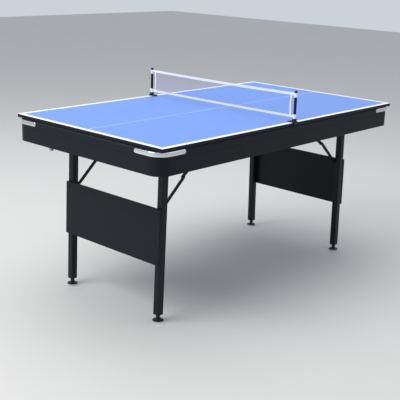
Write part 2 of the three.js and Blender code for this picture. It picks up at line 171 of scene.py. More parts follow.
# ---------- shader writing
class Wire:
    """A value in a node tree, so that shader maths can be written as an expression."""

    def __init__(self, tree, socket):
        self.tree = tree
        self.socket = socket

    def math(self, operation, *others):
        node = self.tree.nodes.new("ShaderNodeMath")
        node.operation = operation
        for place, value in enumerate(others):
            if isinstance(value, Wire):
                self.tree.links.new(value.socket, node.inputs[place])
            else:
                node.inputs[place].default_value = value
        return Wire(self.tree, node.outputs[0])

    def __add__(self, other):
        return self.math("ADD", self, other)

    def __radd__(self, other):
        return self.math("ADD", other, self)

    def __sub__(self, other):
        return self.math("SUBTRACT", self, other)

    def __rsub__(self, other):
        return self.math("SUBTRACT", other, self)

    def __mul__(self, other):
        return self.math("MULTIPLY", self, other)

    def __rmul__(self, other):
        return self.math("MULTIPLY", other, self)

    def __truediv__(self, other):
        return self.math("DIVIDE", self, other)

    def __rtruediv__(self, other):
        return self.math("DIVIDE", other, self)

    def __abs__(self):
        return self.math("ABSOLUTE", self)

    def lowest(self, other):
        return self.math("MINIMUM", self, other)

    def highest(self, other):
        return self.math("MAXIMUM", self, other)

    def sine(self):
        return self.math("SINE", self)

    def clamped(self):
        return self.lowest(1.0).highest(0.0)

    def below(self, limit, softness):
        """1 where the value is below the limit, 0 above it, with a soft step of that width."""
        return ((limit - self) / softness + 0.5).clamped()


class Finish:
    """A material under construction."""

    def __init__(self, name):
        self.material = bpy.data.materials.new(name)
        self.material.use_nodes = True
        self.tree = self.material.node_tree
        self.tree.nodes.clear()

    def node(self, kind, settings=None, values=None, output=0):
        node = self.tree.nodes.new(kind)
        for key, setting in (settings or {}).items():
            setattr(node, key, setting)
        for key, value in (values or {}).items():
            if isinstance(value, Wire):
                self.tree.links.new(value.socket, node.inputs[key])
            else:
                node.inputs[key].default_value = value
        return Wire(self.tree, node.outputs[output])

    def place(self):
        """The piece's own coordinates, which are the row frame's at rest."""
        return self.node("ShaderNodeTexCoord", output="Object")

    def xyz(self):
        split = self.tree.nodes.new("ShaderNodeSeparateXYZ")
        self.tree.links.new(self.place().socket, split.inputs[0])
        return [Wire(self.tree, output) for output in split.outputs]

    def noise(self, scale, detail=3.0, stretch=(1.0, 1.0, 1.0), roughness=0.5):
        stretched = self.node("ShaderNodeMapping", values={"Vector": self.place(), "Scale": stretch})
        return self.node("ShaderNodeTexNoise", values={
            "Vector": stretched, "Scale": scale, "Detail": detail, "Roughness": roughness})

    def blend(self, factor, first, second):
        """A colour between two others."""
        return self.node("ShaderNodeMix", {"data_type": "RGBA"}, {0: factor, 6: first, 7: second}, output=2)

    def bump(self, height, distance, strength=1.0):
        return self.node("ShaderNodeBump", values={
            "Height": height, "Distance": distance, "Strength": strength})

    def done(self, values):
        shader = self.node("ShaderNodeBsdfPrincipled", values=values)
        output = self.tree.nodes.new("ShaderNodeOutputMaterial")
        self.tree.links.new(shader.socket, output.inputs["Surface"])
        return self.material


def opaque(colour, factor=1.0):
    return (*(channel * factor for channel in colour), 1.0)


finishes = {}


def weave(look, pitch):
    """Height of a plain weave with that pitch, from 0 to 1."""
    turn = 2 * math.pi / pitch
    x, y, z = look.xyz()
    crossing = (x * turn).sine() * ((y + z) * turn).sine()
    return crossing * 0.5 + 0.5


def make_playing_paint(colours, sizes):
    look = Finish("playing_paint")
    x, y, _ = look.xyz()
    from_edge = (BOARD_HIGH.x - abs(x)).lowest(BOARD_HIGH.y - abs(y))
    uneven = look.noise(180.0, 2.0) * 0.0006
    border = (from_edge + uneven).below(sizes.border, 0.0008)
    middle = abs(y + uneven).below(sizes.centre_line / 2, 0.0010) * 0.62
    cloudy = look.noise(2.2, 4.0)
    blue = look.blend(cloudy, opaque(colours.board, 0.93), opaque(colours.board, 1.07))
    lines = border.highest(middle)
    painted = look.blend(lines, blue, opaque(colours.line))
    scuffs = look.noise(38.0, 6.0, (1.0, 0.25, 1.0), 0.7)
    peel = look.noise(620.0, 2.0) + lines * 0.6
    return look.done({
        "Base Color": painted, "Roughness": 0.34 + scuffs * 0.14 + lines * 0.05,
        "Normal": look.bump(peel, 0.00006, 0.5), "Specular IOR Level": 0.45})


def make_laminate(colours):
    look = Finish("black_laminate")
    grain = look.noise(90.0, 5.0, (0.12, 0.12, 1.0), 0.6)
    pores = look.noise(900.0, 2.0, (0.3, 0.3, 1.0))
    haze = look.noise(3.0, 3.0)
    shade = grain * 0.6 + haze * 0.4
    colour = look.blend(shade, opaque(colours.laminate, 0.8), opaque(colours.laminate, 1.35))
    return look.done({
        "Base Color": colour, "Roughness": 0.36 + haze * 0.12 + grain * 0.06,
        "Normal": look.bump(pores, 0.00008, 0.45), "Specular IOR Level": 0.16})


def make_powder_coat(colours):
    look = Finish("black_powder_coat")
    pebble = look.noise(750.0, 2.0)
    haze = look.noise(6.0, 3.0)
    colour = look.blend(haze, opaque(colours.steel, 0.85), opaque(colours.steel, 1.3))
    return look.done({
        "Base Color": colour, "Roughness": 0.33 + haze * 0.14,
        "Normal": look.bump(pebble, 0.00009, 0.55), "Specular IOR Level": 0.2})


def make_plastic(colours):
    look = Finish("black_plastic")
    grain = look.noise(1100.0, 3.0)
    flow = look.noise(24.0, 3.0, (1.0, 1.0, 0.3))
    colour = look.blend(flow, opaque(colours.plastic, 0.85), opaque(colours.plastic, 1.4))
    return look.done({
        "Base Color": colour, "Roughness": 0.40 + flow * 0.16,
        "Normal": look.bump(grain, 0.00006, 0.5), "Specular IOR Level": 0.3})


def make_metal(name, colour, roughness, spread, scale, stretch, depth):
    look = Finish(name)
    marks = look.noise(scale, 4.0, stretch, 0.6)
    cloud = look.noise(9.0, 3.0)
    tint = look.blend(cloud, opaque(colour, 0.9), opaque(colour, 1.05))
    return look.done({
        "Base Color": tint, "Metallic": 1.0, "Roughness": roughness + marks * spread,
        "Normal": look.bump(marks, depth, 0.3)})


def make_cloth(name, colour, pitch, depth, fuzz):
    look = Finish(name)
    threads = weave(look, pitch)
    fibres = look.noise(fuzz, 4.0)
    shade = look.blend(threads * 0.5 + fibres * 0.5, opaque(colour, 0.82), opaque(colour, 1.12))
    return look.done({
        "Base Color": shade, "Roughness": 0.80 + fibres * 0.15,
        "Normal": look.bump(threads * 0.7 + fibres * 0.3, depth, 0.6), "Sheen Weight": 0.25})


def make_wood():
    look = Finish("plain_wood")
    rings = look.noise(22.0, 6.0, (6.0, 0.25, 6.0), 0.65)
    fibre = look.noise(260.0, 3.0, (3.0, 0.15, 3.0))
    colour = look.blend(rings, (0.33, 0.21, 0.11, 1.0), (0.62, 0.46, 0.28, 1.0))
    return look.done({
        "Base Color": colour, "Roughness": 0.62 + fibre * 0.2, "Normal": look.bump(fibre, 0.0002, 0.6)})


def make_floor(colours):
    look = Finish("pale_floor")
    cloud = look.noise(1.4, 4.0)
    colour = look.blend(cloud, opaque(colours.floor, 0.97), opaque(colours.floor, 1.03))
    return look.done({"Base Color": colour, "Roughness": 0.75 + cloud * 0.1})


# ---------- mesh writing
def round_corners(points, radii, steps=5):
    """A closed outline with its corners rounded, each by its own radius."""
    count = len(points)
    rounded = []
    for index, point in enumerate(points):
        here = Vector(point)
        before = Vector(points[index - 1]) - here
        after = Vector(points[(index + 1) % count]) - here
        radius = radii[index]
        if radius <= 0:
            rounded.append(here)
            continue
        half = before.angle(after) / 2
        reach = min(radius / math.tan(half), 0.49 * before.length, 0.49 * after.length)
        radius = reach * math.tan(half)
        centre = here + (before.normalized() + after.normalized()).normalized() * (radius / math.sin(half))
        start = here + before.normalized() * reach - centre
        end = here + after.normalized() * reach - centre
        turn = start.angle_signed(end)
        for step in range(steps + 1):
            rounded.append(centre + Matrix.Rotation(-turn * step / steps, 2) @ start)
    return rounded


def inset(points, distance):
    """A closed outline moved inwards. It runs anticlockwise."""
    count = len(points)
    moved = []
    for index, point in enumerate(points):
        ahead = (points[(index + 1) % count] - point).normalized()
        behind = (point - points[index - 1]).normalized()
        normal = Vector((-ahead.y - behind.y, ahead.x + behind.x)).normalized()
        spread = max(0.35, normal.dot(Vector((-ahead.y, ahead.x))))
        moved.append(point + normal * (distance / spread))
    return moved


def anticlockwise(points):
    area = sum(a.x * b.y - b.x * a.y for a, b in zip(points, points[1:] + points[:1]))
    return points if area > 0 else points[::-1]


def loft(mesh, rings, closed=False):
    """Joins rings of points that have equal counts. An open loft has both ends filled."""
    made = [[mesh.verts.new(point) for point in ring] for ring in rings]
    count = len(rings[0])
    pairs = list(zip(made, made[1:]))
    if closed:
        pairs.append((made[-1], made[0]))
    for first, second in pairs:
        for index in range(count):
            following = (index + 1) % count
            mesh.faces.new((first[index], first[following], second[following], second[index]))
    if not closed:
        mesh.faces.new(made[0][::-1])
        mesh.faces.new(made[-1])
    return made


def lathe(mesh, outline, matrix, segments=40):
    """A turned piece about the matrix's Z axis, from [radius, height] points that end off the axis."""
    rings = []
    for radius, height in outline:
        ring = []
        for step in range(segments):
            angle = 2 * math.pi * step / segments
            ring.append(matrix @ Vector((radius * math.cos(angle), radius * math.sin(angle), height)))
        rings.append(ring)
    loft(mesh, rings)


def slab(mesh, outline, matrix, low, high, edge, steps=3):
    """A flat plate from an outline in the matrix's XY plane, with rounded edges."""
    outline = anticlockwise([Vector(point) for point in outline])
    rings = []
    for height, sign in ((low, 1), (high, -1)):
        levels = range(steps + 1) if sign > 0 else range(steps, -1, -1)
        for level in levels:
            angle = math.pi / 2 * level / steps
            ring = inset(outline, edge * (1 - math.sin(angle)))
            z = height + sign * edge * (1 - math.cos(angle))
            rings.append([matrix @ Vector((point.x, point.y, z)) for point in ring])
    loft(mesh, rings)


def rounded_rectangle(width, height, radius, steps=5, centre=(0.0, 0.0)):
    x, y = width / 2, height / 2
    corners = [(-x, -y), (x, -y), (x, y), (-x, y)]
    return [point + Vector(centre) for point in round_corners(corners, [radius] * 4, steps)]


def upright(x, y, z):
    return Matrix.Translation((x, y, z))


def across(x, y, z):
    """A frame whose X and Y are the row's X and Z, and whose Z runs along -Y."""
    return Matrix.Translation((x, y, z)) @ Matrix.Rotation(math.pi / 2, 4, "X")


def sideways(x, y, z):
    """A frame whose X and Y are the row's Y and Z, and whose Z runs along +X."""
    return Matrix(((0, 0, 1, x), (1, 0, 0, y), (0, 1, 0, z), (0, 0, 0, 1)))


def new_piece(name, mesh, finish, body, hides=(), sharp=38):
    """Makes the object, lets it ride on its body and hides the frame pieces that it stands for."""
    bmesh.ops.recalc_face_normals(mesh, faces=mesh.faces)
    limit = math.radians(sharp)
    for edge in mesh.edges:
        edge.smooth = not (len(edge.link_faces) == 2 and edge.calc_face_angle(0.0) > limit)
    for face in mesh.faces:
        face.smooth = True
    data = bpy.data.meshes.new(name)
    mesh.to_mesh(data)
    mesh.free()
    piece = bpy.data.objects.new(name, data)
    bpy.context.scene.collection.objects.link(piece)
    for one in finish if isinstance(finish, (list, tuple)) else [finish]:
        data.materials.append(finishes[one])
    even = piece.modifiers.new("even_shading", "WEIGHTED_NORMAL")
    even.keep_sharp = True
    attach(piece, body)
    if hides:
        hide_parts(*hides)
    return piece


def dress_frame_piece(node, finish, edge=0.0):
    """A frame piece whose shape is right keeps it, and gets its finish and softened edges."""
    piece = frame["nodes"][node]
    piece.data.materials.clear()
    piece.data.materials.append(finishes[finish])
    if edge > 0:
        weld = piece.modifiers.new("weld", "WELD")
        weld.merge_threshold = 0.00001
        soften = piece.modifiers.new("soften", "BEVEL")
        soften.width = edge
        soften.segments = 2
        soften.limit_method = "ANGLE"
        soften.angle_limit = math.radians(35)
        soften.harden_normals = True


def leg_frame(end):
    """The frame of a leg pair: its origin on the fold pivot, running down the legs along -Z."""
    pivot = JOINTS[f"legs_{end}_fold"]["pos_m"]
    return Matrix.Translation(pivot) @ Matrix.Rotation(-ENDS[end] * SPLAY, 4, "Y")


def domed_head(mesh, matrix, radius, height, recess=0.35):
    """A domed screw head with a socket in it, standing on the matrix's XY plane."""
    lathe(mesh, [
        (radius, 0.0), (radius, height * 0.25), (radius * 0.94, height * 0.5),
        (radius * 0.78, height * 0.8), (radius * 0.55, height * 0.97), (radius * recess, height),
        (radius * recess * 0.9, height * 0.45),
    ], matrix, 20)


def rivet(mesh, x, z, low, high, low_dome, high_dome, radius=7 * MM, shank=4 * MM):
    """A rivet along Y from low to high, with a domed head of its own height at each end."""
    head = ((0.3, 1.0), (0.72, 0.75), (0.95, 0.3), (1.0, 0.0))
    far = [(radius * out, -high - high_dome * up) for out, up in head]
    near = [(radius * out, -low + low_dome * up) for out, up in reversed(head)]
    lathe(mesh, far + [(shank, -high), (shank, -low)] + near, across(x, 0, z), 24)


# ---------- finishes
class PINGPONG_OT_finishes(bpy.types.Operator):
    """Makes every finish of the table"""

    bl_idname = "pingpong.finishes"
    bl_label = "Finishes"

    def execute(self, context):
        colours = context.scene.pingpong_colours
        sizes = context.scene.pingpong_sizes
        finishes["paint"] = make_playing_paint(colours, sizes)
        finishes["laminate"] = make_laminate(colours)
        finishes["powder_coat"] = make_powder_coat(colours)
        finishes["plastic"] = make_plastic(colours)
        finishes["chrome"] = make_metal(
            "chrome_plate", colours.chrome, roughness=0.08, spread=0.10, scale=60.0, stretch=(1, 1, 1),
            depth=0.00003)
        finishes["zinc"] = make_metal(
            "zinc_plate", (0.46, 0.47, 0.46), roughness=0.34, spread=0.16, scale=140.0, stretch=(1, 1, 0.3),
            depth=0.00004)
        finishes["cloth"] = make_cloth(
            "bed_cloth", colours.cloth, pitch=0.0011, depth=0.00018, fuzz=700.0)
        finishes["tape"] = make_cloth(
            "net_tape", colours.tape, pitch=0.0009, depth=0.00012, fuzz=900.0)
        finishes["thread"] = make_cloth(
            "net_thread", colours.thread, pitch=0.0004, depth=0.00004, fuzz=2400.0)
        finishes["wood"] = make_wood()
        finishes["floor"] = make_floor(colours)
        return {"FINISHED"}


# ---------- the playing board
class PINGPONG_OT_board(bpy.types.Operator):
    """Builds the lift-off playing board with its painted top and black edge"""

    bl_idname = "pingpong.board"
    bl_label = "Playing board"

    def execute(self, context):
        edge = context.scene.pingpong_sizes.soft_edge
        size = BOARD_HIGH - BOARD_LOW
        mesh = bmesh.new()
        outline = rounded_rectangle(size.x, size.y, BOARD_CORNER, 4)
        slab(mesh, outline, upright(0, 0, 0), BOARD_LOW.z, BOARD_HIGH.z, edge)
        mesh.normal_update()
        for face in mesh.faces:
            face.material_index = 0 if face.calc_center_median().z > BOARD_TOP - edge * 0.5 else 1
        new_piece("playing_board", mesh, ["paint", "laminate"], "board_set",
                  ["tennis_board"])
        for end in ENDS:
            dress_frame_piece(f"board_cleat_{end}", "wood", 0.0008)
        return {"FINISHED"}


# ---------- cabinet
def rail_profile(face):
    """The rail's section, measured outwards and up, with its outer face at the given distance."""
    low, high = RAIL_LOW.z, RAIL_HIGH.z
    points = [(face - RAIL_WIDTH, low), (face, low), (face, high), (face - RAIL_WIDTH, high)]
    return round_corners(points, [0.6 * MM, 0.6 * MM, RAIL_ROUNDING, 1.5 * MM], 7)


def apron_profile(face):
    low, high = APRON_LOW.z, APRON_HIGH.z
    points = [(face - APRON_THICKNESS, low), (face, low), (face, high), (face - APRON_THICKNESS, high)]
    return round_corners(points, [1.2 * MM, 1.5 * MM, 0.5 * MM, 0.3 * MM], 4)


def corner_profile():
    """The section of a corner piece: the apron's wall with the rail's block above it."""
    face = CORNER_RADIUS
    inner = face - RAIL_WIDTH
    wall = face - APRON_THICKNESS
    points = [(wall, APRON_LOW.z), (face, APRON_LOW.z), (face, RAIL_HIGH.z), (inner, RAIL_HIGH.z),
              (inner, RAIL_LOW.z), (wall, RAIL_LOW.z)]
    return round_corners(points, [1.2 * MM, 1.5 * MM, RAIL_ROUNDING, 1.5 * MM, 0.6 * MM, 0.6 * MM], 7)


def corner_station(sign_x, sign_y, distance):
    """A place along the outline round a corner: 0 and the arc's length are the ends of the curve.
    It gives the corner's centre, moved along a straight arm if there is one, and the outward direction."""
    arc = CORNER_RADIUS * math.pi / 2
    start = math.atan2(sign_y, sign_x) - math.pi / 4
    within = min(max(distance, 0.0), arc)
    angle = start + within / CORNER_RADIUS
    outward = Vector((math.cos(angle), math.sin(angle)))
    along = Vector((-outward.y, outward.x)) * (distance - within)
    centre = Vector((sign_x * (HALF_LENGTH - CORNER_RADIUS), sign_y * (HALF_WIDTH - CORNER_RADIUS)))
    return centre + along, outward


def cap_section(half, fullness):
    """The cap's ring at a station: offsets outwards and heights, with rounded long edges."""
    bend_z = RAIL_HIGH.z - RAIL_ROUNDING
    whole = CAP_FLAT + RAIL_ROUNDING * CAP_WRAP
    middle = whole / 2
    across_count = 12
    ring = []
    for back in (False, True):
        for step in range(across_count + 1):
            u = -1 + 2 * step / across_count
            if back:
                u = -u
            place = middle + u * half
            turn = max(0.0, (place - CAP_FLAT) / RAIL_ROUNDING)
            normal = Vector((math.cos(turn), math.sin(turn)))
            if turn > 0:
                point = Vector((CORNER_RADIUS - RAIL_ROUNDING, bend_z)) + normal * RAIL_ROUNDING
            else:
                point = Vector((CORNER_RADIUS, bend_z - CAP_FLAT + place))
            raised = CAP_THICKNESS * fullness * (1 - abs(u) ** 6) ** 0.5
            ring.append(point + normal * (TOUCH_GAP + (0.0 if back else max(raised, 0.02 * MM))))
    return ring


class PINGPONG_OT_cabinet(bpy.types.Operator):
    """Builds the aprons, the top rails, the rounded corners and the bed"""

    bl_idname = "pingpong.cabinet"
    bl_label = "Cabinet"

    def execute(self, context):
        runs = [("front", 0, -1), ("rear", 0, 1), ("left", -1, 0), ("right", 1, 0)]
        for name, out_x, out_y in runs:
            low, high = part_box(f"apron_{name}")
            for kind, profile in (("apron", apron_profile), ("top_rail", rail_profile)):
                section = profile(0.0)
                face = HALF_LENGTH if out_x else HALF_WIDTH
                limits = (low.y, high.y) if out_x else (low.x, high.x)
                rings = []
                for along in limits:
                    rings.append([
                        Vector((out_x * (face + p.x), along, p.y)) if out_x
                        else Vector((along, out_y * (face + p.x), p.y)) for p in section])
                mesh = bmesh.new()
                loft(mesh, rings)
                node = f"{kind}_{name}"
                new_piece(f"{node}_board", mesh, "laminate", "table", [node])
        arc = CORNER_RADIUS * math.pi / 2
        section = corner_profile()
        stations = 28
        for place, sign_x, sign_y, _ in PLACES:
            mesh = bmesh.new()
            rings = []
            for step in range(stations + 1):
                centre, outward = corner_station(sign_x, sign_y, arc * step / stations)
                rings.append([Vector((*(centre + outward * p.x), p.y)) for p in section])
            loft(mesh, rings)
            new_piece(f"corner_{place}_wood", mesh, "laminate", "table",
                      [f"corner_{place}"])
        dress_frame_piece("playfield_bed", "cloth", 0.0008)
        return {"FINISHED"}


class PINGPONG_OT_corner_caps(bpy.types.Operator):
    """Builds the chrome caps round the four corners, with rounded ends"""

    bl_idname = "pingpong.corner_caps"
    bl_label = "Corner caps"

    def execute(self, context):
        arc = CORNER_RADIUS * math.pi / 2
        full = (CAP_FLAT + RAIL_ROUNDING * CAP_WRAP) / 2
        tips = [full * (1 - math.cos(math.pi / 2 * k / 8)) for k in range(9)]
        tips[0] = 0.06 * MM
        ends = [-CAP_ARM + tip for tip in tips]
        bend = [arc * k / 24 for k in range(25)]
        distances = ends + [-CAP_ARM / 2] + bend + [arc + CAP_ARM / 2] + [arc - d for d in reversed(ends)]
        for place, sign_x, sign_y, _ in PLACES:
            mesh = bmesh.new()
            rings = []
            for distance in distances:
                tip = min(distance + CAP_ARM, arc + CAP_ARM - distance)
                short = max(full - tip, 0.0)
                half = math.sqrt(max(full * full - short * short, 1e-10))
                fullness = min(1.0, math.sqrt(tip / (1.6 * MM)))
                centre, outward = corner_station(sign_x, sign_y, distance)
                section = cap_section(half, fullness)
                rings.append([Vector((*(centre + outward * p.x), p.y)) for p in section])
            loft(mesh, rings)
            node = f"corner_cap_{place}"
            new_piece(f"{node}_plate", mesh, "chrome", "table", [node])
        return {"FINISHED"}


class PINGPONG_OT_hook(bpy.types.Operator):
    """Builds the bent hook behind the left apron with its two screws"""

    bl_idname = "pingpong.hook"
    bl_label = "Accessory hook"

    def execute(self, context):
        low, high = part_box("accessory_hook")
        thick = HOOK_THICKNESS
        tip_z = APRON_LOW.z - HOOK_TIP_GAP
        y = (low.y + high.y) / 2
        points = [(low.x, low.z), (high.x, low.z), (high.x, high.z), (high.x - thick, high.z),
                  (high.x - thick, low.z + thick), (low.x + thick, low.z + thick), (low.x + thick, tip_z),
                  (low.x, tip_z)]
        radii = [3 * MM, 3 * MM, 1 * MM, 1 * MM, 0.8 * MM, 0.8 * MM, 1 * MM, 1 * MM]
        mesh = bmesh.new()
        half = (high.y - low.y) / 2
        slab(mesh, round_corners(points, radii), across(0, y, 0), -half, half, 0.5 * MM)
        sideways_turn = Matrix.Rotation(math.pi / 2, 4, "Y")
        for lift in HOOK_SCREW_LIFTS:
            place = Matrix.Translation((high.x, y, APRON_LOW.z + lift))
            domed_head(mesh, place @ sideways_turn, 3.6 * MM, 1.6 * MM)
        new_piece("hook_strip", mesh, "zinc", "table", ["accessory_hook"])
        return {"FINISHED"}


# ---------- legs
class PINGPONG_OT_legs(bpy.types.Operator):
    """Builds the tube legs, their panels with screws, the hinge rods and the brackets"""

    bl_idname = "pingpong.legs"
    bl_label = "Legs"

    def execute(self, context):
        sizes = context.scene.pingpong_sizes
        outer = rounded_rectangle(TUBE, TUBE, sizes.tube_rounding, 6)
        hollow = TUBE - 2 * TUBE_WALL
        inner = rounded_rectangle(hollow, hollow, sizes.tube_rounding - TUBE_WALL, 6)
        hole = [p.normalized() * STUD_HOLE_RADIUS for p in outer]
        for place, _, sign_y, end in PLACES:
            pivot = JOINTS[f"legs_{end}_fold"]["pos_m"]
            length = (pivot[2] - TUBE_END_Z) / math.cos(SPLAY)
            chamfer = 0.8 * MM
            matrix = leg_frame(end) @ Matrix.Translation((0, sign_y * LEG_Y, 0))
            levels = [
                (inset(outer, chamfer), -length), (outer, -length + chamfer),
                (outer, TUBE_ABOVE_PIVOT - chamfer),
                (inset(outer, chamfer * 0.6), TUBE_ABOVE_PIVOT), (inner, TUBE_ABOVE_PIVOT),
                (inner, -length + TUBE_END_PLATE), (hole, -length + TUBE_END_PLATE), (hole, -length),
            ]
            rings = [[matrix @ Vector((p.x, p.y, z)) for p in ring] for ring, z in levels]
            mesh = bmesh.new()
            loft(mesh, rings, closed=True)
            new_piece(f"leg_tube_{place}", mesh, "powder_coat", f"legs_{end}",
                      [f"leg_{place}"])
        for end, sign in ENDS.items():
            self.panel(end, sign, sizes.soft_edge)
            dress_frame_piece(f"hinge_rod_{end}", "zinc", 0.0006)
        for place, _, _, _ in PLACES:
            dress_frame_piece(f"hinge_bracket_{place}", "powder_coat", 0.0005)
        return {"FINISHED"}

    def panel(self, end, sign, edge):
        thick, high, drop = PANEL_THICKNESS, PANEL_HEIGHT, PANEL_DROP
        near = TUBE / 2 + TOUCH_GAP
        wide = 2 * LEG_Y + TUBE
        leg = leg_frame(end)
        turn = Matrix(((0, 0, sign, 0), (1, 0, 0, 0), (0, 1, 0, 0), (0, 0, 0, 1)))
        outline = rounded_rectangle(wide, high, PANEL_CORNER, 4, (0.0, -drop - high / 2))
        mesh = bmesh.new()
        slab(mesh, outline, leg @ turn, near, near + thick, edge)
        new_piece(f"leg_panel_{end}_board", mesh, "laminate", f"legs_{end}",
                  [f"leg_panel_{end}"])
        mesh = bmesh.new()
        for side in SIDES.values():
            for down in (drop + PANEL_SCREW_INSET, drop + high - PANEL_SCREW_INSET):
                place = leg @ turn @ upright(side * LEG_Y, -down, near + thick)
                domed_head(mesh, place, 5 * MM, 2.2 * MM)
        new_piece(f"leg_panel_{end}_screws", mesh, "powder_coat", f"legs_{end}")


class PINGPONG_OT_braces(bpy.types.Operator):
    """Builds the folding braces with their rivets, and dresses the ears that hold them"""

    bl_idname = "pingpong.braces"
    bl_label = "Braces"

    def execute(self, context):
        for place, _, sign_y, end in PLACES:
            anchor = Vector(JOINTS[f"brace_lower_{end}_fold"]["pos_m"])
            ear = Vector(JOINTS[f"brace_upper_{end}_fold"]["pos_m"])
            elbow = self.elbow(end, anchor)
            links = (("lower", anchor, elbow, LOWER_LINK_Y), ("upper", elbow, ear, UPPER_LINK_Y))
            for kind, start, stop, y in links:
                mesh = bmesh.new()
                self.link(mesh, start, stop, sign_y * y)
                body = f"brace_{kind}_{end}"
                new_piece(f"brace_{kind}_{place}_bar", mesh, "powder_coat", body,
                          [f"brace_{kind}_{place}"])
            outer_y = LOWER_LINK_Y + LINK_THICKNESS / 2
            inner_y = UPPER_LINK_Y - LINK_THICKNESS / 2
            ends = sorted((sign_y * outer_y, sign_y * inner_y))
            mesh = bmesh.new()
            domes = (RIVET_DOME, RIVET_FLUSH) if sign_y > 0 else (RIVET_FLUSH, RIVET_DOME)
            rivet(mesh, elbow.x, elbow.z, *ends, *domes)
            new_piece(f"brace_rivet_{place}", mesh, "powder_coat", f"brace_lower_{end}")
            dress_frame_piece(f"brace_ear_{place}", "powder_coat", 0.0004)
        return {"FINISHED"}

    def elbow(self, end, anchor):
        """The elbow pivot: the middle of the lower link's upper round end."""
        low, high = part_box(f"brace_lower_{end}_front")
        reach = LINK_WIDTH / 2
        x = (low.x if anchor.x > 0 else high.x) + (reach if anchor.x > 0 else -reach)
        return Vector((x, 0, high.z - reach))

    def link(self, mesh, start, stop, y):
        span = stop - start
        length = math.hypot(span.x, span.z)
        angle = math.atan2(span.z, span.x)
        radius = LINK_WIDTH / 2
        arc = [math.pi * k / 12 for k in range(13)]
        outline = [(length + radius * math.sin(a), -radius * math.cos(a)) for a in arc]
        outline += [(-radius * math.sin(a), radius * math.cos(a)) for a in arc]
        matrix = across(start.x, y, start.z) @ Matrix.Rotation(angle, 4, "Z")
        slab(mesh, outline, matrix, -LINK_THICKNESS / 2, LINK_THICKNESS / 2, LINK_EDGE)


class PINGPONG_OT_feet(bpy.types.Operator):
    """Builds the levelling feet with their bright rims"""

    bl_idname = "pingpong.feet"
    bl_label = "Levelling feet"

    def execute(self, context):
        for place, *_ in PLACES:
            low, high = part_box(f"levelling_foot_{place}")
            x, y = (low.x + high.x) / 2, (low.y + high.y) / 2
            matrix = upright(x, y, 0)
            mesh = bmesh.new()
            outline = [
                (22, 0), (24, 0.4), (24.6, 1.2), (24.6, 5.4), (24, 6.6), (22.4, 8.0), (19, 8.9), (13, 9.6),
                (10.4, 10.6), (9.3, 12.2), (9, 14), (9, 29), (8.6, 30.6),
            ]
            points = [(radius * MM, z * MM) for radius, z in outline]
            points += [(7.6 * MM, FOOT_NECK_TOP), (STUD_RADIUS, FOOT_NECK_TOP)]
            for turn in range(1, STUD_TURNS):
                points.append((STUD_RADIUS - THREAD_DEPTH * (turn % 2), FOOT_NECK_TOP + THREAD_STEP * turn))
            lathe(mesh, points, matrix, 48)
            body = f"foot_{place}"
            node = f"levelling_foot_{place}"
            new_piece(f"{node}_moulding", mesh, "plastic", body, [node])
            mesh = bmesh.new()
            ring = [(24.0, 1.6), (24.8, 1.4), (25.0, 2.2), (25.0, 4.6), (24.8, 5.4), (24.0, 5.2)]
            rings = []
            for r, z in ring:
                rings.append([
                    matrix @ Vector((r * MM * math.cos(t), r * MM * math.sin(t), z * MM))
                    for t in (2 * math.pi * k / 48 for k in range(48))])
            loft(mesh, rings, closed=True)
            new_piece(f"{node}_rim", mesh, "chrome", body)
        return {"FINISHED"}


# ---------- net
class PINGPONG_OT_net_posts(bpy.types.Operator):
    """Builds the net's posts and the brackets that they stand in"""

    bl_idname = "pingpong.net_posts"
    bl_label = "Net posts"

    def execute(self, context):
        for side, sign in SIDES.items():
            low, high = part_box(f"net_post_{side}")
            radius = POST_RADIUS
            mesh = bmesh.new()
            outline = [
                (radius - 0.5 * MM, low.z), (radius, low.z + 0.5 * MM), (radius, high.z - 3 * MM),
                (radius * 0.97, high.z - 1.7 * MM), (radius * 0.84, high.z - 0.7 * MM),
                (radius * 0.6, high.z - 0.15 * MM), (radius * 0.3, high.z),
            ]
            lathe(mesh, outline, upright(0, sign * POST_Y, 0), 32)
            new_piece(f"post_{side}_rod", mesh, "plastic", "net_set", [f"net_post_{side}"])
            self.bracket(side, sign)
        return {"FINISHED"}

    def bracket(self, side, sign):
        """A plate on the board with a lip over its edge, a boss for the post and two screws."""
        low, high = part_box(f"net_bracket_{side}")
        outer = abs(low.y if sign < 0 else high.y)
        inner = abs(high.y if sign < 0 else low.y)
        wide = high.x - low.x
        plate_low = BOARD_TOP + TOUCH_GAP
        plate_high = plate_low + BRACKET_PLATE
        mesh = bmesh.new()
        middle = (0.0, sign * (outer + inner) / 2)
        outline = rounded_rectangle(wide, outer - inner, BRACKET_CORNER, 6, middle)
        slab(mesh, outline, upright(0, 0, 0), plate_low, plate_high, 1.4 * MM)
        behind, lip_top = outer - BRACKET_LIP, plate_high - 0.6 * MM
        section = round_corners(
            [(behind, low.z), (outer, low.z), (outer, lip_top), (behind, lip_top)],
            [0.9 * MM, 1.2 * MM, 0.8 * MM, 0.8 * MM])
        reach = wide / 2 - 1.2 * MM
        slab(mesh, [(sign * p.x, p.y) for p in section], sideways(0, 0, 0), -reach, reach, 0.7 * MM)
        top = high.z / MM
        foot, top = plate_low / MM, high.z / MM
        boss = [(10.0, foot), (10.5, foot + 0.5), (10.5, top - 1.4), (10.1, top - 0.4), (9.2, top),
                (7.3, top), (6.9, top - 0.6), (6.9, plate_high / MM)]
        lathe(mesh, [(radius * MM, z * MM) for radius, z in boss], upright(0, sign * POST_Y, 0), 40)
        new_piece(f"net_bracket_{side}_moulding", mesh, "plastic", "board_set",
                  [f"net_bracket_{side}"])
        mesh = bmesh.new()
        for x in (-BRACKET_SCREW_X, BRACKET_SCREW_X):
            place = upright(x, sign * (inner + BRACKET_SCREW_INSET), plate_high - 0.1 * MM)
            domed_head(mesh, place, 3.2 * MM, 1.3 * MM)
        new_piece(f"net_bracket_{side}_screws", mesh, "zinc", "board_set")


